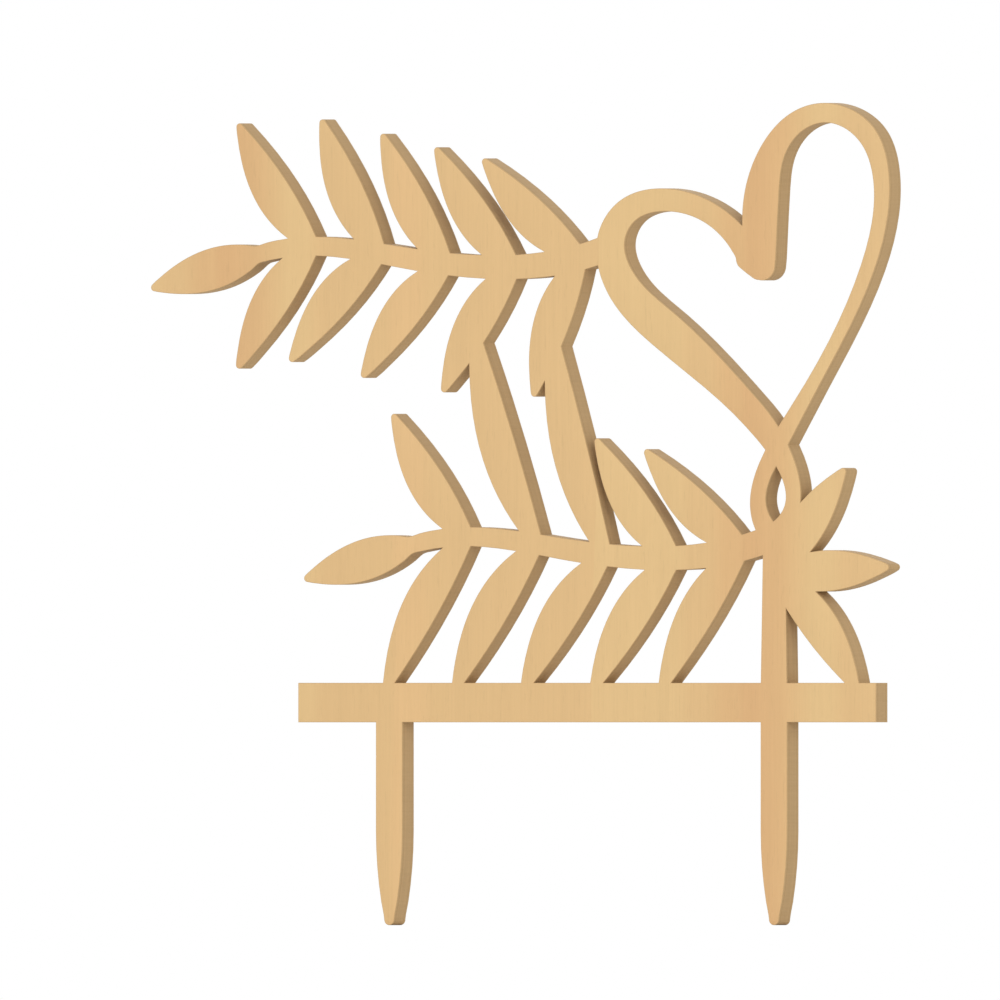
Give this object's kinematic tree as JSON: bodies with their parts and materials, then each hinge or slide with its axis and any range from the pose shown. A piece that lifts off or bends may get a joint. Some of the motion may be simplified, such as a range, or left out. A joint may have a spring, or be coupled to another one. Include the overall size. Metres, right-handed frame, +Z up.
{
  "type": "cake topper",
  "caption": "Flat veneered-board cake topper: an open heart with leafy sprays on a straight bar, with pointed stakes that push into a cake.",
  "frame": {"origin": "middle of the bar's underside, halfway through the sheet's thickness: the plane that comes to rest on the cake", "axes": "+X along the bar towards the heart's side, +Z up, the front face looks towards -Y"},
  "size_m": [0.1503, 0.004, 0.1439],
  "materials": {
    "veneer": "fine-grained pale wood veneer, unvarnished, sanded smooth",
    "core": "fibre board with an even, laser-toasted cut edge",
    "glue": "thin cured glue line"
  },
  "bodies": {
    "root": {"front_veneer": "veneer", "front_glue_film": "glue", "core_board": "core", "back_glue_film": "glue", "back_veneer": "veneer"}
  },
  "joints": []
}
